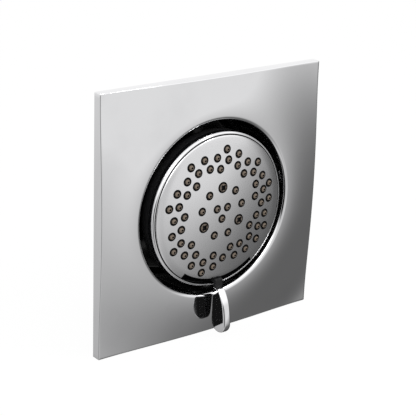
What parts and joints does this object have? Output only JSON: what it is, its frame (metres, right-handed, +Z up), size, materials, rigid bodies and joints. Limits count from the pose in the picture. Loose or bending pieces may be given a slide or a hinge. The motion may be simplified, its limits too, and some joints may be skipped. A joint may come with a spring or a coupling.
{
  "type": "shower body jet",
  "caption": "Flush shower body jet: square dished chrome plate with a round recess, a domed spray head on a ball joint and a lever under it that switches the spray.",
  "frame": {"origin": "on the spray axis, in the plane of the wall's face, which is the back of the trim plate", "axes": "+Z up, +Y into the wall along the inlet, so the spray leaves towards -Y, +X to the right of someone facing the plate"},
  "size_m": [0.152, 0.0779, 0.152],
  "materials": {
    "plate_chrome": "polished chrome plate",
    "lever_chrome": "polished chrome plate",
    "bezel_chrome": "polished chrome plate",
    "stem_chrome": "polished chrome plate",
    "face_chrome": "satin chrome plate",
    "black_gloss": "glossy black moulding",
    "black_plastic": "matt black moulding",
    "white_plastic": "natural low-friction plastic",
    "silicone": "taupe silicone",
    "jet_plastic": "dark taupe moulding",
    "rubber": "black rubber",
    "foam": "closed-cell foam",
    "brass": "machined brass",
    "steel": "stainless steel"
  },
  "bodies": {
    "wall_set": {"trim_plate": "plate_chrome", "wall_gasket": "foam", "recess_cup": "black_gloss", "plate_screws": "steel", "inlet_fitting": "brass", "inlet_washer": "rubber", "lock_nut": "brass", "filter_screen": "steel", "ball_stem": "stem_chrome", "stem_o_ring": "rubber", "flow_regulator": "white_plastic"},
    "seat": {"ball_seat": "white_plastic"},
    "head": {"socket_nut": "black_plastic", "ball_seal": "rubber", "head_body": "black_plastic", "chamber_o_ring": "rubber", "manifold": "black_plastic", "port_seals": "rubber", "manifold_screws": "steel", "nozzle_mat": "silicone", "massage_jets": "jet_plastic", "face_plate": "face_chrome", "bezel_ring": "bezel_chrome"},
    "selector": {"selector_disc": "black_plastic", "lever_carrier": "black_gloss", "lever": "lever_chrome", "lever_screw": "steel"}
  },
  "joints": [
    {"name": "head_turn", "type": "hinge", "parent": "wall_set", "child": "seat", "pos_m": [0, 0.014, 0], "axis": [0, 0, 1], "range_deg": [-3.5, 3.5]},
    {"name": "head_tilt", "type": "hinge", "parent": "seat", "child": "head", "pos_m": [0, 0.014, 0], "axis": [-1, 0, 0], "range_deg": [-1, 10]},
    {"name": "lever_swing", "type": "hinge", "parent": "head", "child": "selector", "pos_m": [0, 0, 0], "axis": [0, 1, 0], "range_deg": [-28, 28]}
  ]
}
